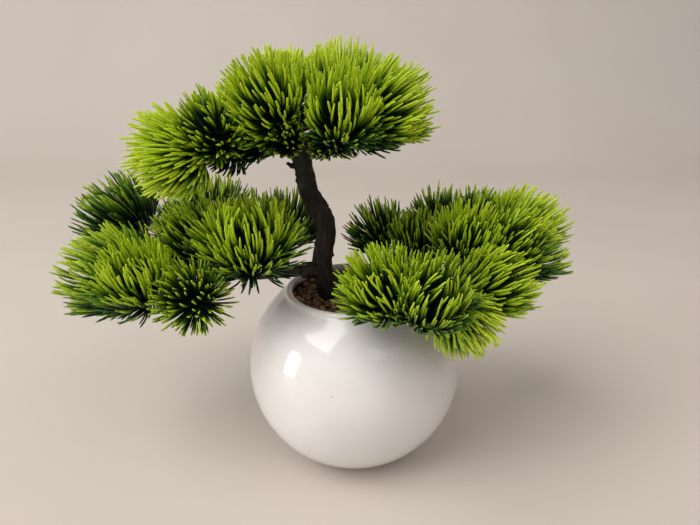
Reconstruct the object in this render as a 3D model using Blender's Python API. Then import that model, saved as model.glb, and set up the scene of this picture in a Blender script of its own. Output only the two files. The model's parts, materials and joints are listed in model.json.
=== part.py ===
"""Artificial tabletop pine: a moulded trunk with four plug-in branches in a ball-shaped ceramic pot.

The pot stands on its flat foot at the origin, with +Z up and the front of the tree at -Y.
Every needle tuft is a moulded rosette pushed onto a peg of its branch. It is modelled here as
the closed envelope of its needles, with a real stem and a blind socket for the peg.
"""

import math

import bmesh
import bpy
from mathutils import Matrix, Vector

MM = 0.001
GAP = 0.3 * MM

# Pot: an ellipsoid shell with a flat foot and a rolled lip
POT_RADIUS = 62.5 * MM
POT_HALF_HEIGHT = 61.2 * MM
POT_CENTRE_Z = 53.5 * MM
POT_WALL = 4.0 * MM
POT_FLOOR = 5.0 * MM
LIP_RADIUS = 2.0 * MM
LIP_CENTRE_Z = 100.6 * MM
POT_STEPS = 32
WALL_POINTS = 8
LIP_POINTS = 4

# Fill: a foam plug wedged in the pot, under a layer of bonded gravel
FOAM_RADIUS = 34.0 * MM
FOAM_FOOT_RADIUS = 29.0 * MM
FOAM_TOP_Z = 87.0 * MM
FOAM_SIDES = 24
GRAVEL_TOP_Z = 95.5 * MM
GRAVEL_RINGS = 4
GRAVEL_LUMP = 1.0 * MM
LUMP_WAVES = ((1.1, 0.4), (-0.3, 0.9))  # radians for each millimetre along X and along Y
LUMPY_SHARE = 0.9  # of the gravel's radius
GRAVEL_CLEARANCE = 1.2 * MM

# Trunk: centre line and radius in millimetres, from the spigot in the foam to the crown
TRUNK_PATH = (
    (-13.0, 2.0, 50.0, 4.2),
    (-13.0, 2.0, 84.0, 4.6),
    (-12.5, 2.0, 93.0, 8.6),
    (-14.0, 1.5, 98.0, 7.2),
    (-17.0, 0.5, 106.0, 6.0),
    (-18.5, 0.0, 118.0, 5.6),
    (-16.5, 0.0, 130.0, 5.3),
    (-16.2, 0.0, 140.0, 5.4),
    (-19.7, 0.0, 148.0, 5.6),
    (-25.0, 0.0, 157.5, 5.2),
    (-27.2, 0.0, 171.0, 4.9),
    (-30.0, 0.0, 182.0, 5.0),
    (-30.6, 0.0, 188.0, 4.2),
)
TRUNK_SIDES = 10
TRUNK_STEPS = 2
BURIED_POINTS = 6  # points of the trunk's path that the foam and the gravel close round
SPIGOT_CLEARANCE = 0.4 * MM
STUB = ((-28.0, -1.0, 171.0, 1.3), (-32.5, -2.0, 171.8, 1.0), (-36.0, -2.5, 173.6, 0.7))
STUB_SIDES = 6
CORE_RADIUS = 1.2 * MM
CORE_SIDES = 8
CORE_POINTS = 11  # points of the trunk path that the steel core follows

# Branch sockets: each branch turns about its plug, which lies along X
SOCKET_RADIUS = 2.9 * MM
PLUG_RADIUS = SOCKET_RADIUS - GAP
PLUG_LENGTH = 6.0 * MM
BOSS_RADIUS = 4.6 * MM
SHOULDER_RADIUS = 3.5 * MM
ROUND_SIDES = 12
BRANCH_SIDES = 8

# Tufts: a needle envelope round a short stem, measured from the hub where the needles fan out
STEM_LENGTH = 12.0 * MM
STEM_RADIUS = 2.4 * MM
PEG_RADIUS = 1.1 * MM
PEG_END = 3.4 * MM  # from the hub back to the end of the peg
TUFT_SIDES = 10
TUFT_CREASE = 70  # degrees
DOME_ANGLES = (22, 46, 70, 95)
WAIST = (0.55, -0.26)  # where the needles draw in, across and along, for a radius of 1
COLLAR = (1.6 * STEM_RADIUS, -0.75 * STEM_LENGTH)  # where the lowest needles leave the stem
SLEEVE_TOP = -0.8 * STEM_LENGTH
TWIG_RADIUS = 1.7 * MM
FIRST_TWIG = 0.4  # place of the first twig, counted in points of the branch's path
TWIG_SWING = 0.45  # share of the way to a tuft before its twig turns to the tuft's axis
TWIG_APPROACH = 4.0 * MM
TWIG_STEPS = 4
TWIG_SIDES = 6
TUFT_GAP = 0.8 * MM
BODY_GAP = 1.0 * MM  # between the reaches of neighbouring branches
CROSS_GAP = 5.0 * MM  # between tufts of branches that turn past each other
WOOD_GAP = 3.0 * MM  # between a tuft and the wood of another branch or the trunk

# Branches. mouth: centre of the socket's mouth in the trunk. boss: length of the boss round it.
# path: centre line and radius in millimetres, from the socket's mouth outwards.
# reach: the X range that the branch's tufts stay in, so that a turn about X can't bring two
# branches together. tufts: hub, needle direction, envelope radius, how far the needles droop
# below the hub, and where along the branch the twig leaves it, from 0 to 1.
BRANCHES = {
    "crown_left": {
        "mouth": (-37.0, 0.0, 182.0),
        "boss": 6.5,
        "path": (
            (-42.0, -1.0, 180.8, 3.2),
            (-50.0, -4.0, 178.6, 2.9),
            (-60.0, -8.0, 178.4, 2.6),
            (-68.0, -12.0, 179.6, 2.3),
            (-74.0, -15.0, 181.0, 2.0),
        ),
        "reach": (-200.0, -24.0),
        "tufts": (
            ((-83.0, -34.0, 181.0), (-0.86, -0.46, -0.20), 25.0, 17.0, 1.00),
            ((-66.0, -37.0, 192.5), (-0.12, -0.86, 0.50), 21.0, 14.0, 0.85),
            ((-39.0, -31.0, 203.0), (-0.22, -0.80, 0.56), 26.0, 17.0, 0.25),
            ((-50.0, -24.0, 187.5), (-0.20, -0.95, 0.10), 20.0, 9.0, 0.45),
            ((-36.0, 14.0, 208.0), (-0.05, 0.20, 0.98), 23.0, 12.0, 0.15),
            ((-59.0, 10.0, 199.0), (-0.40, 0.25, 0.88), 20.0, 12.0, 0.50),
            ((-79.0, 5.0, 187.0), (-0.75, 0.40, 0.50), 18.5, 12.0, 0.95),
            ((-33.0, -25.0, 190.0), (0.05, -0.93, 0.36), 19.0, 9.0, 0.15),
            ((-33.0, -10.0, 208.0), (0.25, -0.05, 0.97), 23.0, 8.0, 0.15),
            ((-62.0, -22.0, 181.0), (-0.30, -0.94, -0.14), 15.0, 9.0, 0.50),
            ((-38.0, 27.0, 191.0), (0.05, 0.92, 0.38), 21.0, 9.0, 0.12),
        ),
    },
    "crown_right": {
        "mouth": (-23.0, 0.0, 182.0),
        "boss": 6.5,
        "path": (
            (-17.0, 0.5, 182.4, 3.2),
            (-9.0, 2.0, 183.6, 3.0),
            (-2.0, 5.0, 187.0, 2.7),
            (4.0, 9.0, 192.0, 2.4),
            (8.0, 12.0, 198.0, 2.0),
        ),
        "reach": (-24.0, 200.0),
        "tufts": (
            ((-8.0, -32.0, 197.0), (0.05, -0.90, 0.43), 25.0, 14.0, 0.20),
            ((-7.0, 9.0, 210.0), (-0.02, 0.05, 1.0), 26.0, 12.0, 0.60),
            ((14.0, -17.0, 199.0), (0.78, -0.52, 0.34), 27.0, 13.0, 0.75),
            ((8.0, -8.0, 186.0), (0.84, -0.50, -0.12), 23.0, 3.5, 0.35),
            ((18.0, 20.0, 206.0), (0.45, 0.25, 0.85), 22.0, 12.0, 1.00),
            ((-8.0, 34.0, 193.0), (0.05, 0.90, 0.40), 24.0, 12.0, 0.45),
            ((20.0, 22.0, 190.0), (0.85, 0.50, 0.10), 22.0, 7.0, 0.70),
            ((-15.0, -13.0, 208.0), (-0.12, -0.15, 0.98), 23.0, 8.0, 0.15),
            ((-14.0, -23.0, 186.0), (-0.15, -0.95, 0.26), 17.0, 6.0, 0.12),
        ),
    },
    "left": {
        "mouth": (-30.0, -2.0, 113.0),
        "boss": 9.0,
        "path": (
            (-40.0, -3.0, 112.2, 3.4),
            (-56.0, -6.0, 112.0, 3.1),
            (-74.0, -8.0, 113.0, 2.7),
            (-92.0, -6.0, 114.0, 2.4),
            (-107.0, -2.0, 115.0, 2.1),
        ),
        "reach": (-200.0, -20.0),
        "tufts": (
            ((-136.0, 24.0, 133.0), (-0.62, -0.40, 0.67), 31.0, 14.0, 1.00),
            ((-124.0, -20.0, 113.0), (-0.80, -0.38, 0.46), 33.0, 12.0, 0.90),
            ((-107.0, -36.0, 116.0), (-0.05, -0.68, 0.73), 27.0, 12.0, 0.75),
            ((-79.0, -46.0, 114.0), (0.12, -0.88, 0.46), 22.0, 14.0, 0.60),
            ((-85.0, -11.0, 129.0), (-0.42, -0.56, 0.71), 29.0, 12.0, 0.60),
            ((-53.0, -30.0, 134.0), (0.08, -0.74, 0.67), 31.0, 20.0, 0.25),
            ((-40.0, 25.0, 129.0), (0.10, 0.30, 0.95), 27.0, 12.0, 0.10),
            ((-86.0, 34.0, 136.0), (0.05, 0.20, 0.98), 26.0, 12.0, 0.65),
            ((-110.0, 45.0, 122.0), (-0.30, 0.85, 0.45), 25.0, 13.0, 0.92),
        ),
    },
    "right": {
        "mouth": (-7.0, 1.0, 104.5),
        "boss": 8.0,
        "path": (
            (3.0, 0.0, 105.8, 3.3),
            (18.0, -4.0, 109.0, 3.1),
            (36.0, -6.0, 111.0, 2.9),
            (52.0, -5.0, 112.0, 2.6),
            (68.0, -1.0, 113.0, 2.4),
            (82.0, 4.0, 114.5, 2.1),
        ),
        "reach": (-10.0, 200.0),
        "tufts": (
            ((14.0, -50.0, 117.0), (-0.40, -0.76, 0.51), 27.0, 9.0, 0.15),
            ((34.0, -55.0, 113.5), (0.15, -0.78, 0.61), 29.0, 6.0, 0.35),
            ((53.0, -44.0, 102.5), (0.52, -0.50, -0.69), 22.0, 21.0, 0.50),
            ((70.0, -27.0, 112.0), (0.60, -0.58, 0.55), 28.0, 9.0, 0.62),
            ((100.0, 0.0, 118.5), (0.85, -0.30, 0.43), 21.5, 9.0, 1.00),
            ((62.0, -8.0, 130.0), (0.05, -0.55, 0.83), 25.0, 11.0, 0.66),
            ((16.0, 29.0, 124.5), (-0.30, -0.10, 0.95), 23.0, 11.0, 0.20),
            ((38.0, 11.0, 124.0), (0.05, -0.15, 0.98), 23.0, 10.0, 0.42),
            ((55.0, 44.0, 130.0), (0.0, 0.10, 0.99), 23.0, 12.0, 0.55),
            ((79.0, 38.0, 131.0), (0.20, 0.12, 0.97), 23.0, 12.0, 0.80),
            ((100.0, 20.0, 130.0), (0.70, -0.20, 0.69), 27.0, 12.0, 0.95),
            ((85.0, -10.0, 127.0), (0.45, -0.52, 0.72), 25.0, 10.0, 0.85),
        ),
    },
}

# Colour, roughness and metallic value of each material
GLAZE = ((0.86, 0.84, 0.80), 0.08, 0.0)
FOAM = ((0.20, 0.30, 0.16), 0.95, 0.0)
GRAVEL = ((0.22, 0.14, 0.08), 0.45, 0.0)
BARK = ((0.028, 0.020, 0.014), 0.60, 0.0)
STEEL = ((0.55, 0.55, 0.56), 0.35, 1.0)
NEEDLES = ((0.20, 0.42, 0.02), 0.45, 0.0)


def metres(point):
    return Vector(point[:3]) * MM


def clear_scene():
    for obj in list(bpy.data.objects):
        bpy.data.objects.remove(obj)


def add_object(name, mesh, look, pivot=None):
    """Put a mesh in the scene under its name, with a material of its own, riding on a pivot."""
    colour, roughness, metallic = look
    material = bpy.data.materials.new(name)
    material.use_nodes = True
    shader = material.node_tree.nodes["Principled BSDF"]
    shader.inputs["Base Color"].default_value = (*colour, 1.0)
    shader.inputs["Roughness"].default_value = roughness
    shader.inputs["Metallic"].default_value = metallic
    mesh.materials.append(material)
    obj = bpy.data.objects.new(name, mesh)
    bpy.context.scene.collection.objects.link(obj)
    obj.parent = pivot
    return obj


def add_pivot(name, branch):
    """An empty at the mouth of a branch's socket, on the axis that the branch turns about."""
    pivot = bpy.data.objects.new(f"{name}_pivot", None)
    pivot.location = metres(branch["mouth"])
    bpy.context.scene.collection.objects.link(pivot)
    return pivot


def add_helper(name, mesh):
    """A shape that only cuts or joins another one."""
    obj = bpy.data.objects.new(name, mesh)
    bpy.context.scene.collection.objects.link(obj)
    obj.hide_render = True
    obj.display_type = "WIRE"
    return obj


def boolean(obj, helper, operation):
    modifier = obj.modifiers.new(helper.name, "BOOLEAN")
    modifier.operation = operation
    modifier.solver = "EXACT"
    modifier.object = helper


def smooth(obj, angle=50):
    obj.data.shade_smooth()
    obj.data.set_sharp_from_angle(angle=math.radians(angle))


def turned_mesh(name, profile, steps):
    """Spin a profile of (radius, z) about Z, from its start on the axis to its end on the axis."""
    mesh = bpy.data.meshes.new(name)
    bm = bmesh.new()
    points = [bm.verts.new((radius, 0.0, z)) for radius, z in profile]
    edges = [bm.edges.new(pair) for pair in zip(points, points[1:])]
    bmesh.ops.spin(
        bm,
        geom=points + edges,
        axis=(0, 0, 1),
        cent=(0, 0, 0),
        angle=2 * math.pi,
        steps=steps,
        use_merge=True,
    )
    bmesh.ops.remove_doubles(bm, verts=bm.verts, dist=1e-6)
    bmesh.ops.recalc_face_normals(bm, faces=bm.faces)
    bm.to_mesh(mesh)
    bm.free()
    return mesh


def frames_along(centres):
    """Two unit vectors across the path at each centre, turned along it without twist."""
    tangents = []
    for i in range(len(centres)):
        ahead = centres[min(i + 1, len(centres) - 1)] - centres[max(i - 1, 0)]
        tangents.append(ahead.normalized())
    side = tangents[0].orthogonal().normalized()
    frames = []
    for previous, tangent in zip([tangents[0], *tangents], tangents):
        side = previous.rotation_difference(tangent) @ side
        side = (side - tangent * side.dot(tangent)).normalized()
        frames.append((side, tangent.cross(side)))
    return frames


def tube_mesh(name, centres, radii, sides, frames=None):
    """A closed round tube along the centres, with its own radius at each of them."""
    mesh = bpy.data.meshes.new(name)
    bm = bmesh.new()
    rings = []
    for centre, radius, (u, v) in zip(centres, radii, frames or frames_along(centres)):
        turns = [2 * math.pi * k / sides for k in range(sides)]
        rings.append([bm.verts.new(centre + radius * (math.cos(t) * u + math.sin(t) * v)) for t in turns])
    for low, high in zip(rings, rings[1:]):
        for k in range(sides):
            after = (k + 1) % sides
            bm.faces.new((low[k], low[after], high[after], high[k]))
    bm.faces.new(reversed(rings[0]))
    bm.faces.new(rings[-1])
    bmesh.ops.recalc_face_normals(bm, faces=bm.faces)
    bm.to_mesh(mesh)
    bm.free()
    return mesh


def curve_point(points, place):
    """A Catmull-Rom curve through rows of numbers, with place from 0 to the last index."""
    last = len(points) - 1
    i = min(int(place), last - 1)
    t = place - i
    before, here, there, after = (points[min(max(i + k, 0), last)] for k in (-1, 0, 1, 2))
    return tuple(
        0.5 * (2 * b + (c - a) * t + (2 * a - 5 * b + 4 * c - d) * t**2 + (3 * b - a - 3 * c + d) * t**3)
        for a, b, c, d in zip(before, here, there, after)
    )


def curve_points(points, steps):
    return [curve_point(points, k / steps) for k in range((len(points) - 1) * steps + 1)]


def along_x(name, start, length, radius):
    """A cylinder along X from its start; a negative length runs towards -X."""
    ends = [start, start + Vector((length, 0, 0))]
    return tube_mesh(name, ends, [radius, radius], ROUND_SIDES)


# ---------------------------------------------------------------- pot and fill


def shell_radius(z, inset):
    """Radius of the pot's ellipsoid at a height, that far inside its outer surface."""
    share = (z - POT_CENTRE_Z) / (POT_HALF_HEIGHT - inset)
    return (POT_RADIUS - inset) * math.sqrt(1 - share * share)


def wall_line(low, high, inset):
    """Profile points up a wall, evenly spaced by their angle from the pot's centre."""
    ends = [math.asin((z - POT_CENTRE_Z) / (POT_HALF_HEIGHT - inset)) for z in (low, high)]
    line = []
    for k in range(WALL_POINTS):
        angle = ends[0] + (ends[1] - ends[0]) * k / (WALL_POINTS - 1)
        z = POT_CENTRE_Z + (POT_HALF_HEIGHT - inset) * math.sin(angle)
        line.append((shell_radius(z, inset), z))
    return line


def make_pot():
    inside = wall_line(POT_FLOOR, LIP_CENTRE_Z - LIP_RADIUS, POT_WALL)
    outside = wall_line(0.0, LIP_CENTRE_Z, 0.0)
    lip_centre = outside[-1][0] - LIP_RADIUS
    lip = []
    for k in range(LIP_POINTS):
        angle = math.pi * (1 - k / LIP_POINTS)
        lip.append((lip_centre + LIP_RADIUS * math.cos(angle), LIP_CENTRE_Z + LIP_RADIUS * math.sin(angle)))
    profile = [(0.0, POT_FLOOR), *inside, *lip, *reversed(outside), (0.0, 0.0)]
    smooth(add_object("ceramic_pot", turned_mesh("ceramic_pot", profile, POT_STEPS), GLAZE))


def make_foam():
    profile = [
        (0.0, FOAM_TOP_Z),
        (FOAM_RADIUS, FOAM_TOP_Z),
        (FOAM_RADIUS, FOAM_TOP_Z * 0.5),
        (FOAM_FOOT_RADIUS, POT_FLOOR + GAP),
        (0.0, POT_FLOOR + GAP),
    ]
    foam = add_object("foam_block", turned_mesh("foam_block", profile, FOAM_SIDES), FOAM)
    boolean(foam, trunk_cutter("foam_bore"), "DIFFERENCE")
    smooth(foam)


def make_gravel():
    bottom = FOAM_TOP_Z + GAP
    radius = shell_radius(GRAVEL_TOP_Z, POT_WALL) - GRAVEL_CLEARANCE
    base_radius = shell_radius(bottom, POT_WALL) - GRAVEL_CLEARANCE
    rings = [(radius * k / GRAVEL_RINGS, GRAVEL_TOP_Z) for k in range(GRAVEL_RINGS + 1)]
    mesh = turned_mesh("gravel_bed", [*rings, (base_radius, bottom), (0.0, bottom)], POT_STEPS)
    (across_x, across_y), (up_x, up_y) = LUMP_WAVES
    for vertex in mesh.vertices:
        x, y, _ = vertex.co / MM
        on_top = vertex.co.z > GRAVEL_TOP_Z - GAP
        if on_top and math.hypot(x, y) * MM < LUMPY_SHARE * radius:
            wave = math.sin(across_x * x + across_y * y) * math.cos(up_x * x + up_y * y)
            vertex.co.z += GRAVEL_LUMP * wave
    gravel = add_object("gravel_bed", mesh, GRAVEL)
    boolean(gravel, trunk_cutter("gravel_bore"), "DIFFERENCE")


# ---------------------------------------------------------------- trunk


def trunk_line(extra=0.0):
    """Centres and radii of the trunk, with the radii that much larger."""
    rows = curve_points(TRUNK_PATH, TRUNK_STEPS)
    return [metres(row) for row in rows], [row[3] * MM + extra for row in rows]


def trunk_cutter(name):
    """The lower trunk a little larger, and longer at its foot, to clear the fill round it."""
    centres, radii = trunk_line(SPIGOT_CLEARANCE)
    count = BURIED_POINTS * TRUNK_STEPS
    centres, radii = centres[:count], radii[:count]
    centres[0] = centres[0] - Vector((0, 0, SPIGOT_CLEARANCE))
    return add_helper(name, tube_mesh(name, centres, radii, TRUNK_SIDES))


def make_trunk():
    centres, radii = trunk_line()
    trunk = add_object("trunk", tube_mesh("trunk", centres, radii, TRUNK_SIDES), BARK)
    stub = [metres(point) for point in STUB]
    stub_mesh = tube_mesh("trunk_stub", stub, [point[3] * MM for point in STUB], STUB_SIDES)
    boolean(trunk, add_helper("trunk_stub", stub_mesh), "UNION")
    for name, branch in BRANCHES.items():
        mouth = metres(branch["mouth"])
        inward = socket_side(branch)
        boss = along_x(f"{name}_boss", mouth, inward * branch["boss"] * MM, BOSS_RADIUS)
        boolean(trunk, add_helper(f"{name}_boss", boss), "UNION")
    for name, branch in BRANCHES.items():
        outside = metres(branch["mouth"]) - Vector((socket_side(branch) * MM, 0, 0))
        depth = socket_side(branch) * (PLUG_LENGTH + GAP + MM)
        cutter = along_x(f"{name}_socket", outside, depth, SOCKET_RADIUS)
        boolean(trunk, add_helper(f"{name}_socket", cutter), "DIFFERENCE")
    boolean(trunk, core_helper(), "DIFFERENCE")
    smooth(trunk)


def core_line():
    rows = curve_points(TRUNK_PATH[:CORE_POINTS], TRUNK_STEPS)
    return [metres(row) for row in rows]


def core_helper():
    centres = core_line()
    centres[0] = centres[0] - Vector((0, 0, MM))
    radii = [CORE_RADIUS + GAP] * len(centres)
    return add_helper("core_bore", tube_mesh("core_bore", centres, radii, CORE_SIDES))


def make_core():
    """The steel wire that stiffens the trunk, in a bore that opens at the spigot's foot."""
    centres = core_line()
    centres[-1] = centres[-2].lerp(centres[-1], 0.8)
    mesh = tube_mesh("trunk_core_wire", centres, [CORE_RADIUS] * len(centres), CORE_SIDES)
    smooth(add_object("trunk_core_wire", mesh, STEEL))


# ---------------------------------------------------------------- branches


def socket_side(branch):
    """+1 where the socket runs towards +X from its mouth, -1 where it runs towards -X."""
    return 1 if branch["path"][0][0] < branch["mouth"][0] else -1


def branch_rows(branch):
    """The branch's curve from its socket's mouth, as rows of x, y, z and radius in millimetres."""
    start = (*branch["mouth"], SHOULDER_RADIUS / MM)
    return (start, *branch["path"])


def twig_line(branch, hub, axis, leaves):
    """Centre points of a twig, from the branch's centre line to the foot of the tuft's stem."""
    rows = branch_rows(branch)
    last = len(rows) - 1
    start = metres(curve_point(rows, FIRST_TWIG + leaves * (last - FIRST_TWIG)))
    end = hub - axis * (STEM_LENGTH + GAP)
    before = end - axis * TWIG_APPROACH
    away = start.lerp(before, TWIG_SWING)
    line = []
    for k in range(TWIG_STEPS + 1):
        t = k / TWIG_STEPS
        s = 1 - t
        line.append(s**3 * start + 3 * s * s * t * away + 3 * s * t * t * before + t**3 * end)
    return line


def tuft_rows(branch):
    for hub, axis, radius, droop, leaves in branch["tufts"]:
        yield metres(hub), Vector(axis).normalized(), radius * MM, droop * MM, leaves


def make_branch(name, branch, pivot):
    """A branch with its plug, and a twig with a peg for each of its tufts."""
    side = Vector((socket_side(branch), 0, 0))
    mouth = metres(branch["mouth"])
    plug = [mouth + side * PLUG_LENGTH, mouth - side * GAP, mouth - side * GAP]
    rows = curve_points(branch_rows(branch), 2)[1:]
    centres = plug + [metres(row) for row in rows]
    radii = [PLUG_RADIUS, PLUG_RADIUS, SHOULDER_RADIUS] + [row[3] * MM for row in rows]
    frames = frames_along(centres)
    frames[:3] = [frames[0]] * 3
    mesh = tube_mesh(f"{name}_branch", centres, radii, BRANCH_SIDES, frames)
    mesh.transform(Matrix.Translation(-pivot.location))
    obj = add_object(f"{name}_branch", mesh, BARK, pivot)
    for number, (hub, axis, _, _, leaves) in enumerate(tuft_rows(branch), 1):
        line = twig_line(branch, hub, axis, leaves)
        radii = [TWIG_RADIUS] * len(line) + [PEG_RADIUS, PEG_RADIUS]
        line += [line[-1], hub - axis * PEG_END]
        frames = frames_along(line)
        frames[-3:] = [frames[-1]] * 3
        twig = tube_mesh(f"{name}_twig_{number}", line, radii, TWIG_SIDES, frames)
        boolean(obj, add_helper(f"{name}_twig_{number}", twig), "UNION")
    smooth(obj)


# ---------------------------------------------------------------- tufts


def solid_spheres():
    """(owner, twig, centre, radius) for the pot, and all along the trunk, branches and twigs."""
    spheres = [("pot", None, Vector((0, 0, POT_CENTRE_Z)), POT_RADIUS)]
    spheres += [("trunk", None, p, r) for p, r in zip(*trunk_line())]
    spheres += [("trunk", None, metres(point), point[3] * MM) for point in STUB]
    for name, branch in BRANCHES.items():
        for row in curve_points(branch_rows(branch), 4):
            spheres.append((name, None, metres(row), row[3] * MM))
        for number, (hub, axis, _, _, leaves) in enumerate(tuft_rows(branch)):
            line = twig_line(branch, hub, axis, leaves)
            middles = [a.lerp(b, 0.5) for a, b in zip(line, line[1:])]
            spheres += [(name, number, point, TWIG_RADIUS) for point in line + middles]
    return spheres


def turn_past(name, other_name):
    """Whether two branches share part of their reach along X, and so turn past each other."""
    low, high = BRANCHES[name]["reach"]
    other_low, other_high = BRANCHES[other_name]["reach"]
    return name != other_name and low < other_high and other_low < high


def cut_planes(name, number, hub, radius, droop, spheres):
    """Planes that bound a tuft, as (unit normal from the hub, distance from the hub)."""
    low, high = BRANCHES[name]["reach"]
    planes = [(Vector((0, 0, -1)), droop)]
    planes.append((Vector((-1, 0, 0)), hub.x - low * MM - BODY_GAP / 2))
    planes.append((Vector((1, 0, 0)), high * MM - BODY_GAP / 2 - hub.x))
    for other_name, other in BRANCHES.items():
        for k, (other_hub, _, other_radius, _, _) in enumerate(tuft_rows(other)):
            if (other_name, k) == (name, number):
                continue
            apart = other_hub - hub
            share = radius / (radius + other_radius)
            gap = CROSS_GAP if turn_past(name, other_name) else TUFT_GAP
            planes.append((apart.normalized(), apart.length * share - gap / 2))
    for owner, twig, centre, thick in spheres:
        if (owner, twig) == (name, number):
            continue
        clearance = TUFT_GAP if owner == name else WOOD_GAP
        apart = centre - hub
        planes.append((apart.normalized(), apart.length - thick - clearance))
    return planes


def held_inside(offset, planes):
    """The offset from the hub, pulled back along its own line until no plane cuts it."""
    share = 1.0
    for normal, distance in planes:
        reach = offset.dot(normal)
        if reach > distance:
            share = min(share, distance / reach)
    return offset * share


def tuft_profile(radius):
    """(across, along) points of the envelope, from near the tip down to the stem's root."""
    dome = [(radius * math.sin(math.radians(a)), radius * math.cos(math.radians(a))) for a in DOME_ANGLES]
    return [*dome, (WAIST[0] * radius, WAIST[1] * radius), COLLAR]


def make_tuft(name, number, row, spheres, pivot):
    """A tuft's envelope, stem and blind socket, with its origin at the hub."""
    hub, axis, radius, droop, _ = row
    planes = cut_planes(name, number, hub, radius, droop, spheres)
    turn = Vector((0, 0, 1)).rotation_difference(axis)
    bm = bmesh.new()

    def ring(across, along, clipped):
        verts = []
        for k in range(TUFT_SIDES):
            t = 2 * math.pi * k / TUFT_SIDES
            offset = turn @ Vector((across * math.cos(t), across * math.sin(t), along))
            verts.append(bm.verts.new(held_inside(offset, planes) if clipped else offset))
        return verts

    rings = [ring(across, along, True) for across, along in tuft_profile(radius)]
    bore = PEG_RADIUS + GAP
    rings.append(ring(STEM_RADIUS, SLEEVE_TOP, False))
    rings.append(ring(STEM_RADIUS, -STEM_LENGTH, False))
    rings.append(ring(bore, -STEM_LENGTH, False))
    rings.append(ring(bore, GAP - PEG_END, False))
    tip = bm.verts.new(held_inside(axis * radius, planes))
    for k in range(TUFT_SIDES):
        after = (k + 1) % TUFT_SIDES
        bm.faces.new((tip, rings[0][k], rings[0][after]))
        for high, low in zip(rings, rings[1:]):
            bm.faces.new((high[k], low[k], low[after], high[after]))
    bm.faces.new(rings[-1])
    bmesh.ops.recalc_face_normals(bm, faces=bm.faces)
    mesh = bpy.data.meshes.new(f"{name}_tuft_{number + 1}")
    bm.to_mesh(mesh)
    bm.free()
    tuft = add_object(mesh.name, mesh, NEEDLES, pivot)
    tuft.location = hub - pivot.location
    smooth(tuft, TUFT_CREASE)


def main():
    clear_scene()
    make_pot()
    make_foam()
    make_gravel()
    make_trunk()
    make_core()
    spheres = solid_spheres()
    for name, branch in BRANCHES.items():
        pivot = add_pivot(name, branch)
        make_branch(name, branch, pivot)
        for number, row in enumerate(tuft_rows(branch)):
            make_tuft(name, number, row, spheres, pivot)


main()
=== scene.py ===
"""Looks for the artificial tabletop pine: moulded plastic needles over a dark trunk in a white pot.

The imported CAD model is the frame. Each needle tuft is rebuilt needle by needle in the room that
its CAD envelope holds, and the pot, gravel, trunk and branches get fine meshes over the CAD shapes.
"""

import json
import math

import bmesh
import bpy
import numpy as np
from mathutils import Matrix, Vector, noise
from mathutils.bvhtree import BVHTree


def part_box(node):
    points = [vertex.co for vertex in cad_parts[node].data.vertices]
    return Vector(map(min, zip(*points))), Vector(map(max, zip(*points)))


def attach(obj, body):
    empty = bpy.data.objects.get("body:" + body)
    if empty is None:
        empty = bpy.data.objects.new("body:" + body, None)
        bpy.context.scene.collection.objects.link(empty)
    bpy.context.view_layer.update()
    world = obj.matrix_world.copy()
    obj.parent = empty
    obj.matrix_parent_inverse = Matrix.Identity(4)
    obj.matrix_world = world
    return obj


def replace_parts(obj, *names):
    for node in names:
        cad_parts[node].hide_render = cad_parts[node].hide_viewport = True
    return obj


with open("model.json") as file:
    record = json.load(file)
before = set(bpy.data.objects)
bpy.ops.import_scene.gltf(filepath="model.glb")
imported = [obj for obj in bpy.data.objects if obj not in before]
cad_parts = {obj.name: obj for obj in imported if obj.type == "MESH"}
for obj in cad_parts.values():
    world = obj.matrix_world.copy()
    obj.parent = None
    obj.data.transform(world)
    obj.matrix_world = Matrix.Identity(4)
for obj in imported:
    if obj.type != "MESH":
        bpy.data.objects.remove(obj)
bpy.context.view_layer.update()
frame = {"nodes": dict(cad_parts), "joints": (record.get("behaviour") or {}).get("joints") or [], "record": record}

MM = 0.001
NOISE_SEED = 5  # Blender seeds its vector noise from the clock unless it is told a seed
GRAVEL_SEED = 11
NEEDLE_SEED = 3
noise.seed_set(NOISE_SEED)
UP = np.array((0.0, 0.0, 1.0))
GOLDEN_TURN = math.pi * (3 - math.sqrt(5))

# Pot: the driving sizes of the CAD shell, which is an ellipsoid with a flat foot and a rolled lip
POT_LOW, POT_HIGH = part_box("ceramic_pot")
POT_RADIUS = (POT_HIGH.x - POT_LOW.x) / 2
LIP_RADIUS = 2.0 * MM
LIP_CENTRE_Z = POT_HIGH.z - LIP_RADIUS
POT_CENTRE_Z = 53.5 * MM
POT_HALF_HEIGHT = 61.2 * MM
POT_WALL = 4.0 * MM
POT_FLOOR = 5.0 * MM
POT_SEGMENTS = 192
POT_WOBBLE = 0.0012  # share of the radius that the hand-made turn wavers by

# Pinholes in the glaze, in millimetres
SPECKS = (
    (-11.6, -59.7, 67.9),
    (11.6, -54.7, 81.4),
    (47.0, -41.0, 56.4),
    (-30.0, 50.0, 75.0),
    (25.0, 57.0, 47.0),
)
SPECK_CORE = 0.30 * MM
SPECK_EDGE = 0.55 * MM

# Bark relief
BARK_VOXEL = 0.42 * MM
SOCKET_KEEP_OUT = 3.4 * MM  # from a joint's axis, where the bark has no ridges that stand out
SOCKET_REACH = 9 * MM  # along that axis

# Needle tufts
STEM_LENGTH = 12.0 * MM  # from the foot of a tuft's stem to the hub of its needles
STEM_RADIUS = 2.2 * MM
ROOT_SPREAD = 5.0  # millimetres of stem that the needles leave from
CURL = 0.35  # how far the tips of the outer needles turn upwards
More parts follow.
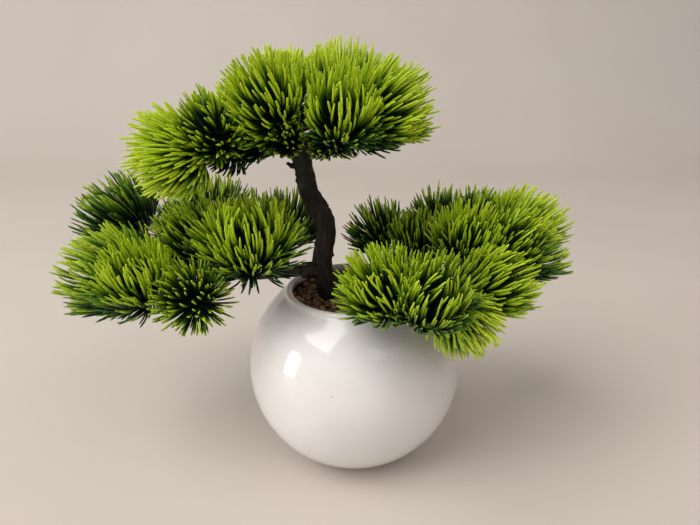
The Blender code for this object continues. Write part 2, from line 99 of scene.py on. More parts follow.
# Where a needle has no room it is cut shorter and pushed towards the tuft's axis: (share, push)
GIVING_WAY = (
    (1.0, 0.0), (0.94, 0.06), (0.88, 0.14), (0.82, 0.22), (0.76, 0.28),
    (0.70, 0.30), (0.62, 0.30), (0.54, 0.25), (0.46, 0.20), (0.38, 0.10), (0.30, 0.0),
)
SOCKET_RADIUS = 1.4 * MM
SOCKET_DEPTH = 8.9 * MM
NEEDLE_RADIUS = 0.55 * MM
NEEDLE_SIDES = 6
RING_PLACES = np.array((0.0, 0.16, 0.34, 0.52, 0.70, 0.86, 0.955, 0.988))
RING_WIDTHS = np.array((0.72, 0.82, 0.90, 0.95, 0.98, 0.93, 0.76, 0.46))
AREA_PER_NEEDLE = 18.5 * MM * MM  # of the dome that the tips of a tuft cover
CLUMP_SIZE = 2.6  # a larger number makes smaller locks
CLUMP_PUSH = 0.17

# Bake map of the needles: each lies on a strip whose place across the map is its amount of lime, which also holds
# painted shade
STRIP_WIDTH = 1 / 40
STRIPS_START = 0.02
STRIPS_SPAN = 0.96

# How each kind of tuft is coloured and shaped: the first number is how far the lime reaches down
# the needles, lift how much more of it the upper ones have, rise how far the needles' middle turns
# up from the stem's line, spread their greatest lean from that middle in degrees, bow how much they
# curve, full how close they stand. The lime's reach and lift are partly painted light and shade.
KINDS = {
    "lime": {"paint_and_shade": 0.60, "lift": 0.22, "rise": 0.0, "spread": 132, "bow": 0.24, "full": 1.15},
    "bright": {"paint_and_shade": 0.36, "lift": 0.34, "rise": 0.1, "spread": 124, "bow": 0.36, "full": 0.95},
    "star": {"paint_and_shade": 0.44, "lift": 0.08, "rise": 0.0, "spread": 128, "bow": 0.26, "full": 0.86},
    "fan": {"paint_and_shade": 0.16, "lift": 0.58, "rise": 0.45, "spread": 132, "bow": 0.55, "full": 0.88},
    "rosette": {"paint_and_shade": 0.10, "lift": 0.42, "rise": 0.40, "spread": 134, "bow": 0.58, "full": 0.80},
    "mid": {"paint_and_shade": 0.19, "lift": 0.32, "rise": 0.1, "spread": 122, "bow": 0.38, "full": 0.86},
    "olive": {"paint_and_shade": 0.19, "lift": 0.26, "rise": 0.0, "spread": 120, "bow": 0.22, "full": 0.92},
    "dark": {"paint_and_shade": 0.08, "lift": 0.30, "rise": 0.0, "spread": 124, "bow": 0.30, "full": 0.80},
}
# Which kind each tuft gets is partly painted light and shade: tufts in shade get the darker kinds (olive, dark)
# and lit ones the lighter kinds (lime, bright).
TUFT_KINDS = {
    "crown_left": (
        "lime", "star", "bright", "olive", "bright",
        "lime", "lime", "star", "bright", "dark", "olive",
    ),
    "crown_right": (
        "fan", "bright", "bright", "dark", "bright",
        "mid", "olive", "bright", "star",
    ),
    "left": ("dark", "mid", "fan", "star", "mid", "fan", "olive", "olive", "dark"),
    "right": (
        "fan", "rosette", "lime", "bright", "mid", "bright",
        "olive", "mid", "olive", "olive", "bright", "mid",
    ),
}


# ---------------------------------------------------------------- meshes and pieces


def add_piece(name, mesh, body, material):
    """Put a mesh in the scene as a piece of the object that moves with a body."""
    mesh.materials.clear()
    mesh.materials.append(material)
    obj = bpy.data.objects.new(name, mesh)
    bpy.context.scene.collection.objects.link(obj)
    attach(obj, body)
    return obj


def mesh_from(name, points, faces):
    mesh = bpy.data.meshes.new(name)
    mesh.from_pydata([tuple(p) for p in points], [], faces)
    mesh.shade_smooth()
    return mesh


def set_attribute(mesh, name, values):
    """A number at each vertex, which a material reads."""
    attribute = mesh.attributes.new(name, "FLOAT", "POINT")
    attribute.data.foreach_set("value", np.asarray(values, np.float32).ravel())


def coordinates(mesh):
    points = np.empty(len(mesh.vertices) * 3)
    mesh.vertices.foreach_get("co", points)
    return points.reshape(-1, 3)


def unit(vectors):
    return vectors / np.linalg.norm(vectors, axis=-1, keepdims=True)


def lathe(name, profile, segments, wobble=0.0):
    """Spin (radius, z) points about Z; the radius may waver a little round the turn."""
    turns = np.arange(segments) * 2 * math.pi / segments
    waver = 1 + wobble * (np.sin(2 * turns + 0.6) + 0.6 * np.sin(3 * turns + 2.1))
    points, rings = [], []
    for radius, z in profile:
        if radius < 1e-9:
            rings.append([len(points)] * segments)
            points.append((0.0, 0.0, z))
            continue
        rings.append(list(range(len(points), len(points) + segments)))
        for t, w in zip(turns, waver):
            points.append((radius * w * math.cos(t), radius * w * math.sin(t), z))
    faces = []
    for low, high in zip(rings, rings[1:]):
        for k in range(segments):
            after = (k + 1) % segments
            corners = (low[k], low[after], high[after], high[k])
            faces.append(tuple(dict.fromkeys(corners)))
    return mesh_from(name, points, faces)


# ---------------------------------------------------------------- materials


class Shader:
    """A material's nodes, added one at a time."""

    # The Mix node has sockets for each data type; these are its colour ones
    MIX_FIRST = 6
    MIX_SECOND = 7
    MIX_RESULT = 2

    def __init__(self, name, **settings):
        self.material = bpy.data.materials.new(name)
        self.material.use_nodes = True
        self.tree = self.material.node_tree
        self.surface = self.tree.nodes["Principled BSDF"]
        for socket, value in settings.items():
            self.set(socket.replace("_", " "), value)

    def set(self, socket, value):
        self.connect(self.surface.inputs[socket], value)

    def connect(self, socket, value):
        if isinstance(value, bpy.types.NodeSocket):
            self.tree.links.new(value, socket)
        else:
            socket.default_value = value

    def node(self, kind, inputs=(), **settings):
        node = self.tree.nodes.new("ShaderNode" + kind)
        for setting, value in settings.items():
            setattr(node, setting, value)
        for socket, value in dict(inputs).items():
            self.connect(node.inputs[socket], value)
        return node

    def place(self):
        """Where a point is on the object at rest, whatever its pose."""
        return self.node("TexCoord").outputs["Object"]

    def stretched(self, scale):
        return self.node("Mapping", {"Vector": self.place(), "Scale": scale}).outputs["Vector"]

    def value_of(self, attribute):
        return self.node("Attribute", attribute_name=attribute).outputs["Fac"]

    def noise(self, scale, detail=3.0, roughness=0.5, vector=None):
        inputs = {"Scale": scale, "Detail": detail, "Roughness": roughness}
        inputs["Vector"] = vector or self.place()
        return self.node("TexNoise", inputs).outputs["Fac"]

    def math(self, operation, first, second=0.0):
        return self.node("Math", {0: first, 1: second}, operation=operation).outputs["Value"]

    def remap(self, value, low, high, to_low=0.0, to_high=1.0, smooth=False):
        inputs = {"Value": value, "From Min": low, "From Max": high}
        inputs |= {"To Min": to_low, "To Max": to_high}
        kind = "SMOOTHSTEP" if smooth else "LINEAR"
        return self.node("MapRange", inputs, interpolation_type=kind).outputs["Result"]

    def ramp(self, value, *stops):
        """A colour by value. Each stop is (place, red, green, blue)."""
        node = self.node("ValToRGB", {"Fac": value})
        elements = node.color_ramp.elements
        while len(elements) < len(stops):
            elements.new(0.5)
        for element, (place, *colour) in zip(elements, stops):
            element.position = place
            element.color = (*colour, 1.0)
        return node.outputs["Color"]

    def mix(self, factor, first, second, blend="MIX"):
        node = self.node("Mix", data_type="RGBA", blend_type=blend)
        self.connect(node.inputs["Factor"], factor)
        self.connect(node.inputs[self.MIX_FIRST], first)
        self.connect(node.inputs[self.MIX_SECOND], second)
        return node.outputs[self.MIX_RESULT]

    def bump(self, height, distance, strength):
        node = self.node("Bump", {"Height": height, "Distance": distance, "Strength": strength})
        self.set("Normal", node.outputs["Normal"])


def needle_material():
    """Moulded green plastic, painted lime from the tip down. "along" is the place along a
    needle, and the other attribute how far its lime reaches; that is cut back on lower and crowded
    needles and on tufts in shade, which is painted shade. Needles with little lime get a blue tint,
    a painted sheen of the sky."""
    s = Shader("needle_plastic", IOR=1.5)
    along = s.value_of("along")
    paint_and_shade = s.value_of("paint_and_shade")
    front = s.remap(paint_and_shade, 0.0, 1.0, 0.74, 0.10)
    end = s.math("ADD", front, s.remap(paint_and_shade, 0.0, 1.0, 0.44, 0.58))
    reach = s.remap(along, front, end, 0.0, 1.0, True)
    strength = s.remap(paint_and_shade, 0.0, 0.6, 0.68, 1.0)
    amount = s.math("MULTIPLY", reach, strength)
    grain = s.noise(900.0, 2.0)
    amount = s.math("ADD", amount, s.remap(grain, 0.3, 0.7, -0.06, 0.06))
    # Dark green at the roots, made darker still as painted shade deep in the tufts, to lime at the tips.
    lime = s.ramp(
        amount,
        (0.0, 0.005, 0.020, 0.007),
        (0.25, 0.012, 0.044, 0.005),
        (0.50, 0.038, 0.110, 0.004),
        (0.75, 0.155, 0.300, 0.005),
        (1.0, 0.580, 0.740, 0.030),
    )
    # A blue tint on needles with little lime: a painted sheen of the sky.
    painted_sky_sheen = s.mix(s.remap(paint_and_shade, 0.05, 0.40), (0.75, 1.0, 2.6, 1.0), (1.0, 1.0, 1.0, 1.0))
    s.set("Base Color", s.mix(1.0, lime, painted_sky_sheen, "MULTIPLY"))
    s.set("Roughness", s.remap(grain, 0.3, 0.7, 0.27, 0.40))
    return s.material


def bark_material():
    """Dark brown moulded bark, a little lighter on its ridges."""
    s = Shader("moulded_bark", IOR=1.40)
    ridge = s.value_of("ridge")
    blotch = s.noise(160.0, 4.0, 0.6)
    fibre = s.noise(1.0, 5.0, 0.65, s.stretched((1500.0, 1500.0, 260.0)))
    tone = s.math("ADD", s.math("MULTIPLY", ridge, 0.55), s.math("MULTIPLY", blotch, 0.55))
    colour = s.ramp(
        tone,
        (0.15, 0.0042, 0.0032, 0.0018),
        (0.50, 0.0135, 0.0102, 0.0056),
        (0.85, 0.0400, 0.0290, 0.0160),
    )
    streaks = s.remap(fibre, 0.35, 0.65, 0.0, 0.5)
    s.set("Base Color", s.mix(streaks, colour, (0.011, 0.0090, 0.0050, 1.0)))
    s.set("Roughness", s.remap(fibre, 0.3, 0.7, 0.42, 0.68))
    s.bump(fibre, 0.25 * MM, 0.6)
    return s.material


def glaze_material():
    """Warm white glaze with a slow waver, faint cloudiness and a few pinhole specks."""
    s = Shader("white_glaze", IOR=1.52)
    cloud = s.noise(22.0, 3.0, 0.5)
    white = s.ramp(cloud, (0.35, 0.770, 0.735, 0.705), (0.65, 0.835, 0.810, 0.785))
    speck = 0.0
    for spot in SPECKS:
        away = s.node("VectorMath", {0: s.place(), 1: Vector(spot) * MM}, operation="DISTANCE")
        dark = s.remap(away.outputs["Value"], SPECK_CORE, SPECK_EDGE, 0.6, 0.0, True)
        speck = s.math("MAXIMUM", speck, dark)
    s.set("Base Color", s.mix(speck, white, (0.20, 0.13, 0.08, 1.0)))
    s.set("Roughness", s.remap(s.noise(90.0, 3.0), 0.3, 0.7, 0.05, 0.11))
    s.bump(s.noise(34.0, 1.0), 0.6 * MM, 0.25)
    return s.material


def gravel_material():
    """Brown and tan gravel with a dull shine: "stone" is a number of each stone's own."""
    s = Shader("brown_gravel", IOR=1.5)
    stone = s.value_of("stone")
    base = s.ramp(
        stone,
        (0.0, 0.052, 0.020, 0.006),
        (0.25, 0.128, 0.053, 0.015),
        (0.50, 0.230, 0.106, 0.031),
        (0.72, 0.360, 0.188, 0.060),
        (0.90, 0.470, 0.298, 0.125),
        (1.0, 0.260, 0.180, 0.092),
    )
    vein = s.noise(700.0, 5.0, 0.65)
    veins = s.remap(vein, 0.35, 0.65, 0.0, 0.55)
    s.set("Base Color", s.mix(veins, base, (0.060, 0.030, 0.015, 1.0)))
    s.set("Roughness", s.remap(vein, 0.3, 0.7, 0.34, 0.54))
    s.bump(s.noise(1400.0, 4.0, 0.6), 0.2 * MM, 0.5)
    return s.material


def foam_material():
    """Dull green florist's foam with open cells."""
    s = Shader("green_foam", IOR=1.4)
    cells = s.node("TexVoronoi", {"Vector": s.place(), "Scale": 900.0}).outputs["Distance"]
    s.set("Base Color", s.ramp(cells, (0.1, 0.06, 0.10, 0.05), (0.6, 0.17, 0.26, 0.13)))
    s.set("Roughness", s.remap(cells, 0.0, 0.7, 0.98, 0.85))
    s.bump(cells, 0.4 * MM, 0.8)
    return s.material


def steel_material():
    """Drawn steel wire with fine lines along it."""
    s = Shader("drawn_steel", Metallic=1.0)
    lines = s.noise(1.0, 4.0, 0.6, s.stretched((4000.0, 4000.0, 120.0)))
    s.set("Base Color", s.ramp(lines, (0.3, 0.36, 0.35, 0.34), (0.7, 0.60, 0.60, 0.61)))
    s.set("Roughness", s.remap(lines, 0.3, 0.7, 0.24, 0.46))
    s.bump(lines, 0.05 * MM, 0.4)
    return s.material


NEEDLES = needle_material()
BARK = bark_material()
GLAZE = glaze_material()
GRAVEL = gravel_material()
FOAM = foam_material()
STEEL = steel_material()


# ---------------------------------------------------------------- pot and fill


def shell_line(low, high, inset, count):
    """(radius, z) points of the shell between two heights, that far inside its outer surface."""
    half = POT_HALF_HEIGHT - inset
    ends = [math.asin((z - POT_CENTRE_Z) / half) for z in (low, high)]
    angles = np.linspace(*ends, count)
    return [((POT_RADIUS - inset) * math.cos(a), POT_CENTRE_Z + half * math.sin(a)) for a in angles]


def make_pot():
    outside = shell_line(0.8 * MM, LIP_CENTRE_Z, 0.0, 60)
    inside = shell_line(POT_FLOOR, LIP_CENTRE_Z - LIP_RADIUS, POT_WALL, 40)
    lip_x = outside[-1][0] - LIP_RADIUS
    turns = np.linspace(0, math.pi, 12)[1:-1]
    lip = [(lip_x + LIP_RADIUS * math.cos(t), LIP_CENTRE_Z + LIP_RADIUS * math.sin(t)) for t in turns]
    foot_x = outside[0][0] - 1.2 * MM
    foot = [(0.0, 0.6 * MM), (foot_x - 6 * MM, 0.6 * MM), (foot_x - 5 * MM, 0.0), (foot_x, 0.0)]
    profile = [*foot, *outside, *lip, *reversed(inside), (0.0, POT_FLOOR)]
    mesh = lathe("glazed_pot", profile, POT_SEGMENTS, POT_WOBBLE)
    pot = add_piece("glazed_pot", mesh, "base", GLAZE)
    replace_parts(pot, "ceramic_pot")


PEBBLE_SPACING = 4.1 * MM
PEBBLE_SIZES = (1.9 * MM, 3.0 * MM)
GRAVEL_CLEARANCE = 0.6 * MM


def pebble_mesh(rng):
    """One rounded, slightly angular stone of unit size."""
    bm = bmesh.new()
    bmesh.ops.create_icosphere(bm, subdivisions=2, radius=1.0)
    shift = Vector(rng.uniform(-50, 50, 3))
    shape = Vector((1.0, rng.uniform(0.68, 0.95), rng.uniform(0.5, 0.75)))
    for v in bm.verts:
        v.co *= 1 + 0.16 * noise.noise(v.co * 1.3 + shift) + 0.07 * noise.noise(v.co * 3.1 + shift)
        v.co = Vector(a * b for a, b in zip(v.co, shape))
    points = np.array([v.co for v in bm.verts])
    faces = [[v.index for v in f.verts] for f in bm.faces]
    bm.free()
    return points, faces


def turned(points, rng, tilt):
    """The points turned about Z at random and tipped over a little."""
    about = Matrix.Rotation(rng.uniform(0, 2 * math.pi), 3, "Z")
    tip = Matrix.Rotation(rng.normal(0, tilt), 3, "X") @ Matrix.Rotation(rng.normal(0, tilt), 3, "Y")
    return points @ np.array(tip @ about).T


def make_gravel():
    low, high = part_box("gravel_bed")
    top = high.z - 1.0 * MM
    radius = shell_line(top, top, POT_WALL, 1)[0][0] - GRAVEL_CLEARANCE
    foot = (high.x - low.x) / 2
    rng = np.random.default_rng(GRAVEL_SEED)
    bed = lathe("bed", [(0, low.z), (foot, low.z), (radius, top - 2 * MM), (0, top - 2 * MM)], 64)
    points = [coordinates(bed)]
    faces = [list(p.vertices) for p in bed.polygons]
    stones = [np.full(len(points[0]), 0.1)]
    bpy.data.meshes.remove(bed)
    spots = []
    steps = int(radius / PEBBLE_SPACING) + 1
    for layer, share in ((0, 1.0), (1, 0.42)):
        for i in range(-steps, steps + 1):
            for j in range(-steps, steps + 1):
                x = (i + 0.5 * (j % 2) + 0.25 * layer) * PEBBLE_SPACING + rng.normal(0, 0.6 * MM)
                y = j * PEBBLE_SPACING * 0.87 + rng.normal(0, 0.6 * MM)
                size = rng.uniform(*PEBBLE_SIZES)
                if math.hypot(x, y) < radius - size and rng.random() < share:
                    z = top - 1.0 * MM + layer * 1.7 * MM + rng.normal(0, 0.25 * MM)
                    spots.append((x, y, z, size))
    for x, y, z, size in spots:
        shape, shape_faces = pebble_mesh(rng)
        first = sum(len(p) for p in points)
        points.append(turned(shape, rng, 0.35) * size + (x, y, z))
        faces += [[first + k for k in face] for face in shape_faces]
        stones.append(np.full(len(shape), rng.random()))
    mesh = mesh_from("gravel_stones", np.concatenate(points), faces)
    set_attribute(mesh, "stone", np.concatenate(stones))
    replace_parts(add_piece("gravel_stones", mesh, "base", GRAVEL), "gravel_bed")


# ---------------------------------------------------------------- wood


def clean_mesh(node):
    """The node's mesh as a bmesh with its split corners joined again."""
    bm = bmesh.new()
    bm.from_mesh(frame["nodes"][node].data)
    bmesh.ops.remove_doubles(bm, verts=bm.verts, dist=1e-6)
    return bm


def fine_copy(node, name, voxel, rounds):
    """The node's shape as an even, rounded mesh that can carry relief."""
    mesh = bpy.data.meshes.new(name)
    bm = clean_mesh(node)
    bm.to_mesh(mesh)
    bm.free()
    helper = bpy.data.objects.new(name, mesh)
    bpy.context.scene.collection.objects.link(helper)
    remesh = helper.modifiers.new("even", "REMESH")
    remesh.mode = "VOXEL"
    remesh.voxel_size = voxel
    soften = helper.modifiers.new("soften", "SMOOTH")
    soften.factor = 0.5
    soften.iterations = rounds
    view = helper.evaluated_get(bpy.context.evaluated_depsgraph_get())
    fine = bpy.data.meshes.new_from_object(view)
    bpy.data.objects.remove(helper)
    bpy.data.meshes.remove(mesh)
    fine.name = name
    fine.shade_smooth()
    return fine


def in_a_socket(point):
    """Whether the point is in or near the bore that a branch's plug turns in."""
    for joint in frame["joints"]:
        x, y, z = joint["pos_m"]
        beside = math.hypot(point.y - y, point.z - z)
        if beside < SOCKET_KEEP_OUT and abs(point.x - x) < SOCKET_REACH:
            return True
    return False


def bark_relief(point, grain):
    """Ridges that run up the wood, from 0 in a groove to 1 on a ridge."""
    along = Vector((point.x / grain.x, point.y / grain.y, point.z / grain.z))
    ridge = 1 - 2.4 * abs(noise.noise(along))
    knots = 0.5 + 0.5 * noise.noise(point / (3.2 * MM) + Vector((7, 3, 1)))
    return min(max(0.72 * ridge + 0.4 * knots, 0.0), 1.0)


def carve(mesh, depth, grain, knobs=()):
    """Raise bark relief, and knobs as (centre, size), along the normals of a fine mesh."""
    ridges = []
    moved = []
    for vertex in mesh.vertices:
        relief = bark_relief(vertex.co, grain)
        rise = depth * (relief - 0.45)
        for centre, size in knobs:
            gap = (vertex.co - centre).length / size
            if gap < 2.5:
                rise += 0.85 * size * math.exp(-(gap**2) * 1.6)
        if in_a_socket(vertex.co):
            rise = min(rise, 0.0)
        ridges.append(relief)
        moved.append(vertex.co + vertex.normal * rise)
    mesh.vertices.foreach_set("co", np.array(moved).ravel())
    set_attribute(mesh, "ridge", ridges)


TRUNK_GRAIN = Vector((2.3, 2.3, 16.0)) * MM
BRANCH_GRAIN = Vector((9.0, 2.2, 2.2)) * MM
# Knobs on the trunk's skin: side (-1 left, +1 right), height and size in millimetres
TRUNK_KNOBS = (
    (-1, 176.5, 0.9), (-1, 172.0, 1.3), (-1, 167.2, 1.0), (-1, 164.2, 1.2), (-1, 161.0, 0.9),
    (-1, 157.5, 1.1), (1, 167.0, 1.1), (1, 150.5, 0.9), (-1, 148.0, 1.0), (-1, 128.0, 1.0),
    (1, 122.0, 1.2), (-1, 110.0, 1.1),
)


def make_trunk():
    mesh = fine_copy("trunk", "bark_trunk", BARK_VOXEL, 6)
    finder = BVHTree.FromPolygons([v.co for v in mesh.vertices], [p.vertices for p in mesh.polygons])
    knobs = []
    for side, z, size in TRUNK_KNOBS:
        far = Vector((side * 80 * MM, -1.5 * MM, z * MM))
        spot = finder.ray_cast(far, Vector((-side, 0, 0)))[0]
        if spot is not None:
            knobs.append((spot, size * MM))
    carve(mesh, 0.85 * MM, TRUNK_GRAIN, knobs)
    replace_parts(add_piece("bark_trunk", mesh, "base", BARK), "trunk")


def make_branches():
    for body, nodes in frame["record"]["behaviour"]["bodies"].items():
        for node in nodes:
            if node.endswith("_branch"):
                mesh = fine_copy(node, f"bark_{node}", BARK_VOXEL, 2)
                carve(mesh, 0.45 * MM, BRANCH_GRAIN)
                piece = add_piece(f"bark_{node}", mesh, body, BARK)
                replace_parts(piece, node)


# ---------------------------------------------------------------- needles


def stem_of(node):
    """(foot, direction) of a tuft's stem. Its foot is the flat ring with the most corners."""
    mesh = frame["nodes"][node].data
    points = np.unique(np.round(coordinates(mesh), 6), axis=0)
    best = (0, None, None)
    for face in mesh.polygons:
        normal, centre = np.array(face.normal), np.array(face.center)
        flat = np.abs((points - centre) @ normal) < 0.02 * MM
        near = np.linalg.norm(points - centre, axis=1) < 2.4 * STEM_RADIUS
        ring = points[flat & near]
        if len(ring) > best[0]:
            best = (len(ring), ring.mean(0), -normal)
    return best[1], best[2]


def tree_of(nodes):
    """One search tree over the surfaces of several nodes."""
    points, faces = [], []
    for node in nodes:
        mesh = frame["nodes"][node].data
        first = len(points)
        points += [v.co.copy() for v in mesh.vertices]
        faces += [[first + k for k in p.vertices] for p in mesh.polygons]
    return BVHTree.FromPolygons(points, faces)


def turns_of(body):
    """The body's motions from rest, as 4x4 matrices: at rest and at each end of its joint."""
    turns = [Matrix.Identity(4)]
    for joint in frame["joints"]:
        if joint["child"] == body:
            centre = Matrix.Translation(joint["pos_m"])
            for angle in joint["range_deg"]:
                turn = Matrix.Rotation(math.radians(angle), 4, Vector(joint["axis"]))
                turns.append(centre @ turn @ centre.inverted())
    return turns


def outside_of(tree, point):
    """How far the point is outside a closed surface, below 0 inside it, and its nearest spot."""
    spot, normal, _, distance = tree.find_nearest(point)
    return (distance if (point - spot).dot(normal) > 0 else -distance), spot, distance


class Room:
    """Where the needles of one body may be: in its own envelopes, and a little past them where
    they stay nearer to those than to any other body, at rest and at both ends of each joint."""

    OVERSHOOT = 3.5 * MM
    OVERSHOOT_BELOW = 0.8 * MM
    STRAY = 4.5 * MM  # outside the envelope of the needle's own tuft
    MARGIN = 0.5 * MM
    SKIN = 0.2 * MM  # still counts as inside an envelope

    def __init__(self, body):
        bodies = frame["record"]["behaviour"]["bodies"]
        self.own = tree_of([n for n in bodies[body] if "_tuft_" in n])
        self.others = []
        for other, nodes in bodies.items():
            if other != body:
                there = [turn.inverted() for turn in turns_of(other)]
                moves = [back @ out for back in there for out in turns_of(body)]
                self.others.append((tree_of(nodes), moves))

    def holds(self, point, home):
        """Whether a needle of the tuft with this envelope may have this point."""
        point = Vector(point)
        if outside_of(home, point)[0] > self.STRAY:
            return False
        outside, spot, distance = outside_of(self.own, point)
        if outside < self.SKIN:
            return True
        below = (spot - point).z > 0.4 * distance
        if outside > (self.OVERSHOOT_BELOW if below else self.OVERSHOOT):
            return False
        reach = outside + self.MARGIN
        for tree, moves in self.others:
            if any(tree.find_nearest(move @ point, reach)[0] for move in moves):
                return False
        return True


def fan(axis, count, spread, rng):
    """How the needles leave an axis: the way round it and the lean from it of each of them."""
    side = unit(np.cross(axis, (0.3, 0.9, 0.1)))
    other = np.cross(axis, side)
    share = (np.arange(count) + 0.5) / count
    lean = np.arccos(1 - (1 - math.cos(math.radians(spread))) * share) + rng.normal(0, 0.08, count)
    turn = np.arange(count) * GOLDEN_TURN + rng.normal(0, 0.2, count)
    around = np.cos(turn)[:, None] * side + np.sin(turn)[:, None] * other
    return around, lean


def clumped(directions, rng):
    """Push neighbouring needles the same way, so that they stand in loose locks."""
    shift = Vector(rng.uniform(-50, 50, 3))
    pushes = [noise.noise_vector(Vector(d) * CLUMP_SIZE + shift) for d in directions]
    return directions + CLUMP_PUSH * np.array(pushes)


def leaning(axis, around, lean):
    return np.cos(lean)[:, None] * axis + np.sin(lean)[:, None] * around


def fitted_needles(room, home, foot, axis, radius, kind, rng):
    """Roots, bends and tips of a tuft's needles, with their directions and the share of their
    length that is left. Each is cut until its tip and a point 0.6 of the way out have room."""
    spread = kind["spread"]
    dome = 2 * math.pi * radius**2 * (1 - math.cos(math.radians(spread)))
    count = int(kind["full"] * dome / AREA_PER_NEEDLE)
    middle = unit(axis + kind["rise"] * UP)
    around, lean = fan(middle, count, spread, rng)
    bow = kind["bow"] * rng.uniform(0.5, 1.5, count)
    out = clumped(leaning(middle, around, lean * (1 - 0.4 * bow)), rng)
    early = leaning(middle, around, lean * (1 + bow) + bow * 0.5)
    hub = foot + axis * STEM_LENGTH
    down = (lean / math.radians(spread))[:, None]
    roots = hub + axis * (0.5 - ROOT_SPREAD * down) * MM + around * STEM_RADIUS * 0.5
    lengths = radius * (1.01 - 0.24 * rng.random(count) ** 1.6)
    stray = rng.normal(0, 0.05, out.shape)
    curl = UP * CURL * bow[:, None] * down
    kept = []
    for k in range(count):
        for share, yielding in GIVING_WAY:
            length = lengths[k] * share
            aim = out[k] * (1 - yielding) + middle * yielding
            tip = hub + (aim + stray[k] + curl[k]) * length
            bend = roots[k] + early[k] * length * 0.52 * (1 - yielding)
            late = 0.16 * roots[k] + 0.48 * bend + 0.36 * tip
            if room.holds(tip, home) and room.holds(late, home):
                kept.append((roots[k], bend, tip, aim, share))
                break
    return [np.array(column) for column in zip(*kept)]


def needle_rings(roots, bends, tips, width, rng):
    """Vertices of the rings of all needles as (needle, place, side, xyz); needle_mesh adds their end points."""
    t = RING_PLACES[None, :, None]
    root, bend, tip = roots[:, None], bends[:, None], tips[:, None]
    centres = (1 - t) ** 2 * root + 2 * t * (1 - t) * bend + t**2 * tip
    along = unit((1 - t) * (bend - root) + t * (tip - bend))
    across = unit(np.cross(along, unit(rng.normal(size=roots.shape))[:, None]))
    other = np.cross(along, across)
    turns = np.arange(NEEDLE_SIDES) * 2 * math.pi / NEEDLE_SIDES
    sizes = width[:, None, None, None] * RING_WIDTHS[None, :, None, None]
    round_ = (
        np.cos(turns)[None, None, :, None] * across[:, :, None]
        + np.sin(turns)[None, None, :, None] * other[:, :, None]
    )
    return centres[:, :, None] + round_ * sizes


def needle_faces(count):
    """Faces and bake-map corners of one needle after another, each a tube with closed ends."""
    rings, sides = len(RING_PLACES), NEEDLE_SIDES
    faces, corners = [], []
    for i in range(rings - 1):
        for k in range(sides):
            after = (k + 1) % sides
            low, high = i * sides, (i + 1) * sides
            faces.append((low + k, low + after, high + after, high + k))
            v, w = RING_PLACES[i], RING_PLACES[i + 1]
            corners.append(((k, v), (k + 1, v), (k + 1, w), (k, w)))
    root, tip = rings * sides, rings * sides + 1
    for k in range(sides):
        after = (k + 1) % sides
        faces.append((after, k, root))
        corners.append(((k + 1, 0.0), (k, 0.0), (k + 0.5, -0.02)))
        high = (rings - 1) * sides
        faces.append((high + k, high + after, tip))
        v = RING_PLACES[-1]
        corners.append(((k, v), (k + 1, v), (k + 0.5, 1.0)))
    per = rings * sides + 2
    all_faces = [tuple(i * per + k for k in face) for i in range(count) for face in faces]
    return all_faces, corners


def needle_mesh(name, roots, bends, tips, paint_and_shade, rng, stem=None):
    """A mesh of needles, with its amount of lime, painted shade included, and its place along each
    needle as attributes. Its bake map lays every needle on the strip of its own amount of lime, so
    like lies on like."""
    count = len(roots)
    width = NEEDLE_RADIUS * rng.uniform(0.88, 1.12, count)
    rings = needle_rings(roots, bends, tips, width, rng)
    body = rings.reshape(count, -1, 3)
    points = np.concatenate([body, roots[:, None], tips[:, None]], axis=1).reshape(-1, 3)
    faces, corners = needle_faces(count)
    along = np.concatenate([np.repeat(RING_PLACES, NEEDLE_SIDES), (0.0, 1.0)])
    along = np.tile(along, count)
    paint_and_shade_values = np.repeat(paint_and_shade, len(along) // count)
    places = []
    for value in paint_and_shade:
        start = STRIPS_START + (STRIPS_SPAN - STRIP_WIDTH) * value
        for face in corners:
            places += [(start + STRIP_WIDTH * k / NEEDLE_SIDES, 0.04 + 0.94 * v) for k, v in face]
    if stem is not None:
        stem_points, stem_faces = stem
        first = len(points)
        points = np.concatenate([points, stem_points])
        faces += [tuple(first + k for k in face) for face in stem_faces]
        along = np.concatenate([along, np.full(len(stem_points), 0.02)])
        paint_and_shade_values = np.concatenate([paint_and_shade_values, np.full(len(stem_points), 0.1)])
        for face in stem_faces:
            around = [(0.0, 0.0), (1.0, 0.0), (1.0, 1.0), (0.0, 1.0)][: len(face)]
            places += [(0.02 + 0.02 * u, 0.005 + 0.02 * v) for u, v in around]
    mesh = mesh_from(name, points, faces)
    set_attribute(mesh, "along", along)
    set_attribute(mesh, "paint_and_shade", paint_and_shade_values)
    layer = mesh.uv_layers.new(name="OFBake", do_init=False)
    layer.uv.foreach_set("vector", np.array(places, np.float32).ravel())
    return mesh


def stem_shape(foot, axis):
    """The moulded stem of a tuft: a sleeve for the branch's peg that narrows to a round top."""
    profile = [
        (0.0, SOCKET_DEPTH),
        (SOCKET_RADIUS, SOCKET_DEPTH),
        (SOCKET_RADIUS, 0.0),
        (STEM_RADIUS * 1.04, 0.0),
        (STEM_RADIUS * 1.06, 1.2 * MM),
        (STEM_RADIUS * 0.92, 1.8 * MM),
        (STEM_RADIUS * 0.85, 5.0 * MM),
        (STEM_RADIUS * 0.80, 9.0 * MM),
        (STEM_RADIUS * 0.70, STEM_LENGTH),
        (STEM_RADIUS * 0.40, STEM_LENGTH + 1.0 * MM),
        (0.0, STEM_LENGTH + 1.3 * MM),
    ]
    mesh = lathe("stem", profile, 12)
    turn = np.array(Vector((0, 0, 1)).rotation_difference(Vector(axis)).to_matrix())
    points = coordinates(mesh) @ turn.T + foot
    faces = [tuple(p.vertices) for p in mesh.polygons]
    bpy.data.meshes.remove(mesh)
    return points, faces


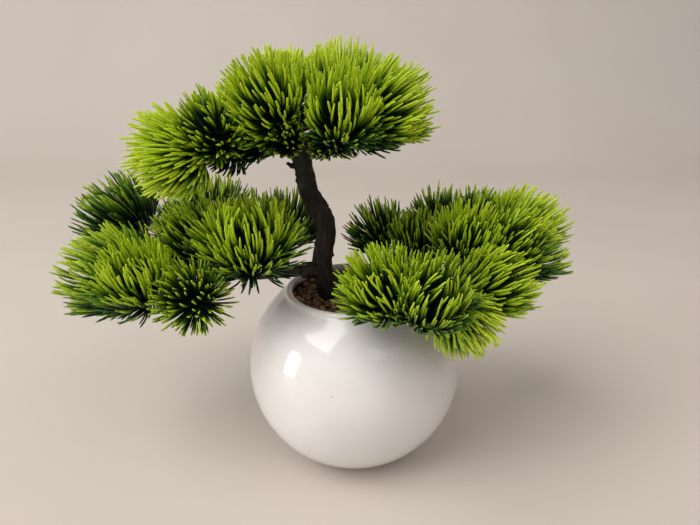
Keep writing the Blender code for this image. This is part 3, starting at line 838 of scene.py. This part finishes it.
def make_tufts():
    bodies = frame["record"]["behaviour"]["bodies"]
    rng = np.random.default_rng(NEEDLE_SEED)
    for spray, kinds in TUFT_KINDS.items():
        body = f"{spray}_spray"
        room = Room(body)
        for number, kind_name in enumerate(kinds, 1):
            node = f"{spray}_tuft_{number}"
            assert node in bodies[body]
            kind = KINDS[kind_name]
            foot, axis = stem_of(node)
            hub = foot + axis * STEM_LENGTH
            radius = np.linalg.norm(coordinates(frame["nodes"][node].data) - hub, axis=1).max()
            home = tree_of([node])
            fitted = fitted_needles(room, home, foot, axis, radius, kind, rng)
            roots, bends, tips, out, share = fitted
            # More lime on needles that point up and less on those cut short where they are crowded: partly the
            # spray from above, partly painted light on the tufts' tops and painted shade deep among them.
            upper = out @ unit(axis + 0.8 * UP)
            paint_and_shade = kind["paint_and_shade"] + kind["lift"] * upper - 0.5 * (1 - share)
            paint_and_shade = np.clip(paint_and_shade + rng.normal(0, 0.09, len(paint_and_shade)), 0.0, 1.0)
            name = f"needles_{node}"
            mesh = needle_mesh(name, roots, bends, tips, paint_and_shade, rng, stem_shape(foot, axis))
            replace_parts(add_piece(name, mesh, body, NEEDLES), node)


# ---------------------------------------------------------------- carried-over nodes


def dress_nodes():
    """Materials for the CAD nodes that stay as they are."""
    for node, material in (("foam_block", FOAM), ("trunk_core_wire", STEEL)):
        for slot in frame["nodes"][node].material_slots:
            slot.material = material


# ---------------------------------------------------------------- stage, light and camera


def make_stage():
    """A plain pale floor that curves up into a backdrop behind the object."""
    wall_y, bend, half_width = 1.5, 0.6, 4.0
    turns = np.linspace(0, math.pi / 2, 24)
    line = [(-3.0, 0.0)]
    line += [(wall_y - bend + bend * math.sin(t), bend - bend * math.cos(t)) for t in turns]
    line.append((wall_y, 4.0))
    points = [(x, y, z) for y, z in line for x in (-half_width, half_width)]
    faces = [(2 * k, 2 * k + 1, 2 * k + 3, 2 * k + 2) for k in range(len(line) - 1)]
    floor = bpy.data.objects.new("stage_floor", mesh_from("stage_floor", points, faces))
    bpy.context.scene.collection.objects.link(floor)
    s = Shader("pale_paper")
    cloud = s.noise(3.0, 2.0)
    s.set("Base Color", s.ramp(cloud, (0.3, 0.60, 0.535, 0.480), (0.7, 0.63, 0.565, 0.510)))
    s.set("Roughness", 0.6)
    floor.data.materials.append(s.material)


def add_light(name, place, target, width, height, watts, colour):
    data = bpy.data.lights.new(name, "AREA")
    data.shape = "RECTANGLE"
    data.size, data.size_y = width, height
    data.energy = watts
    data.color = colour
    light = bpy.data.objects.new(name, data)
    light.location = place
    light.rotation_euler = (Vector(target) - Vector(place)).to_track_quat("-Z", "Y").to_euler()
    bpy.context.scene.collection.objects.link(light)


def make_lights():
    middle = (0.0, 0.0, 0.12)
    add_light("key", (-1.5, -1.0, 2.7), middle, 2.3, 2.3, 76.0, (1.0, 0.982, 0.955))
    add_light("window", (-1.1, -0.44, 0.27), (-0.03, -0.05, 0.08), 0.30, 0.46, 4.6, (1.0, 0.99, 0.98))
    add_light("fill", (0.9, -0.9, 1.7), middle, 1.6, 1.6, 9.5, (1.0, 0.91, 0.85))
    world = bpy.data.worlds.new("studio")
    world.use_nodes = True
    background = world.node_tree.nodes["Background"]
    background.inputs["Color"].default_value = (0.93, 0.95, 1.0, 1.0)
    background.inputs["Strength"].default_value = 0.30
    bpy.context.scene.world = world


CAMERA_PLACE = (-0.0027, -0.281, 0.2195)
CAMERA_DIP = 20.06  # degrees under the horizon
CAMERA_LENS = 27.05  # millimetres, for a sensor 36 mm wide


def make_camera():
    data = bpy.data.cameras.new("camera")
    data.sensor_width = 36.0
    data.lens = CAMERA_LENS
    camera = bpy.data.objects.new("camera", data)
    camera.location = CAMERA_PLACE
    camera.rotation_euler = (math.radians(90 - CAMERA_DIP), 0.0, 0.0)
    bpy.context.scene.collection.objects.link(camera)
    bpy.context.scene.camera = camera
    bpy.context.scene.view_settings.view_transform = "Standard"


make_pot()
make_gravel()
make_trunk()
make_branches()
make_tufts()
dress_nodes()
make_stage()
make_lights()
make_camera()
